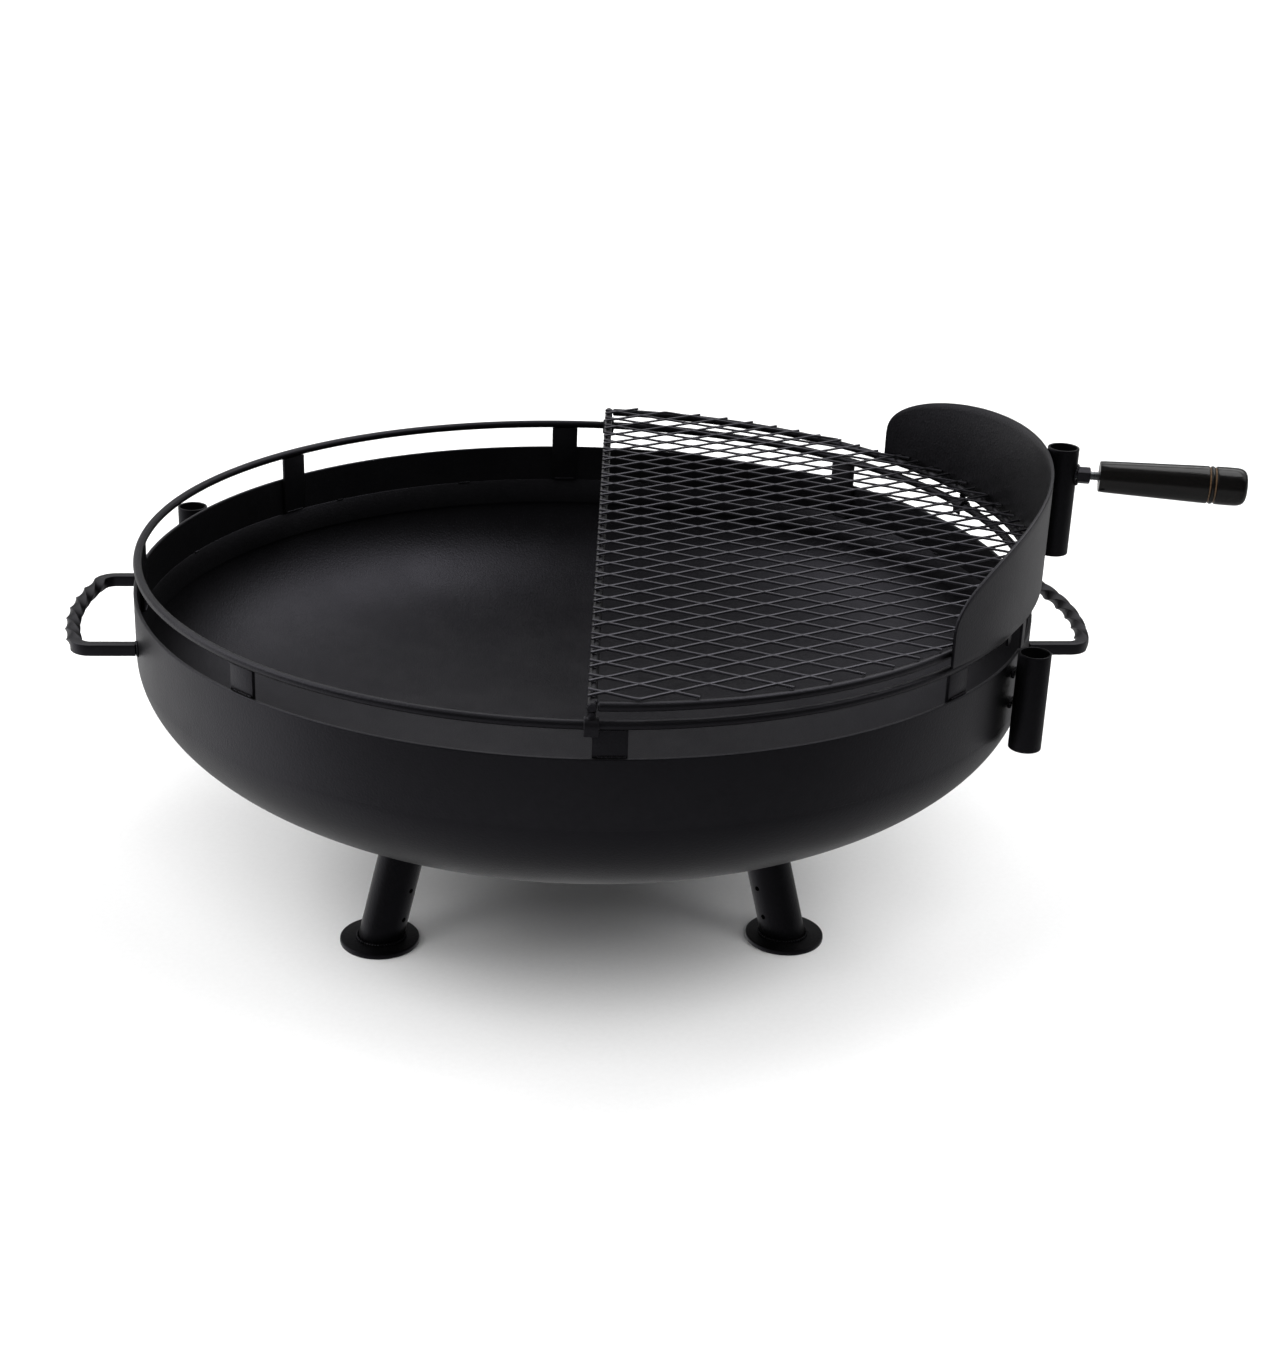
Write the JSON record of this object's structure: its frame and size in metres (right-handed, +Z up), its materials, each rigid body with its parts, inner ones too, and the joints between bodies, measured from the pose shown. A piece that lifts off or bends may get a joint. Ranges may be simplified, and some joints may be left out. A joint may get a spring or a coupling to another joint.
{
  "type": "fire bowl with half-moon grill",
  "caption": "Round steel fire bowl on short legs, with a rail ring, twisted carry handles and a half-moon grill with a wind guard that turns on the rail and clamps to a post.",
  "frame": {"origin": "on the ground, under the middle of the whole object's bounding box", "axes": "+X from the bowl towards the clamp handle's side, along the line of the carry handles; +Z up, along the bowl's axis"},
  "size_m": [0.99, 0.7635, 0.4304],
  "materials": {
    "black_coat": "satin black powder coat",
    "mesh_coat": "satin black powder coat on expanded metal",
    "zinc": "bright zinc plate",
    "black_lacquer": "gloss black lacquer on turned wood"
  },
  "bodies": {
    "fire_bowl": {"bowl_dish": "black_coat", "rim_band": "black_coat", "rail_ring": "black_coat", "rail_tab_1": "black_coat", "rail_tab_2": "black_coat", "rail_tab_3": "black_coat", "rail_tab_4": "black_coat", "rail_tab_5": "black_coat", "rail_tab_6": "black_coat", "rail_tab_7": "black_coat", "rail_tab_8": "black_coat", "carry_handle_left": "black_coat", "carry_handle_right": "black_coat", "post_socket_front": "black_coat", "post_socket_back": "black_coat", "socket_spacer_front_upper": "black_coat", "socket_spacer_front_lower": "black_coat", "socket_spacer_back_upper": "black_coat", "socket_spacer_back_lower": "black_coat", "leg_tube_1": "black_coat", "leg_tube_2": "black_coat", "leg_tube_3": "black_coat", "foot_disc_1": "black_coat", "foot_disc_2": "black_coat", "foot_disc_3": "black_coat"},
    "grill": {"grill_arc_rod": "black_coat", "grill_straight_rod": "black_coat", "grill_mesh": "mesh_coat", "grill_saddle_1": "black_coat", "grill_saddle_2": "black_coat", "grill_saddle_3": "black_coat", "grill_saddle_4": "black_coat", "wind_guard": "black_coat", "clamp_sleeve": "black_coat", "clamp_nut": "black_coat"},
    "clamp_screw": {"clamp_stud": "zinc"},
    "clamp_handle": {"clamp_grip": "black_lacquer"}
  },
  "joints": [
    {"name": "grill_turn", "type": "hinge", "parent": "fire_bowl", "child": "grill", "pos_m": [-0.0548, 0.0007, 0.3266], "axis": [0, 0, 1], "continuous": true},
    {"name": "clamp_travel", "type": "slide", "parent": "grill", "child": "clamp_screw", "axis": [-0.9744, 0.225, 0], "range_m": [-0.006, 0.006]},
    {"name": "grip_turn", "type": "hinge", "parent": "clamp_screw", "child": "clamp_handle", "pos_m": [0.34314, -0.03342, 0.4071], "axis": [-0.9744, 0.225, 0], "range_deg": [-1728, 1728]}
  ],
  "couplings": [
    {"joint": "clamp_travel", "follows": "grip_turn", "m_per_rad": 0.00019894}
  ]
}
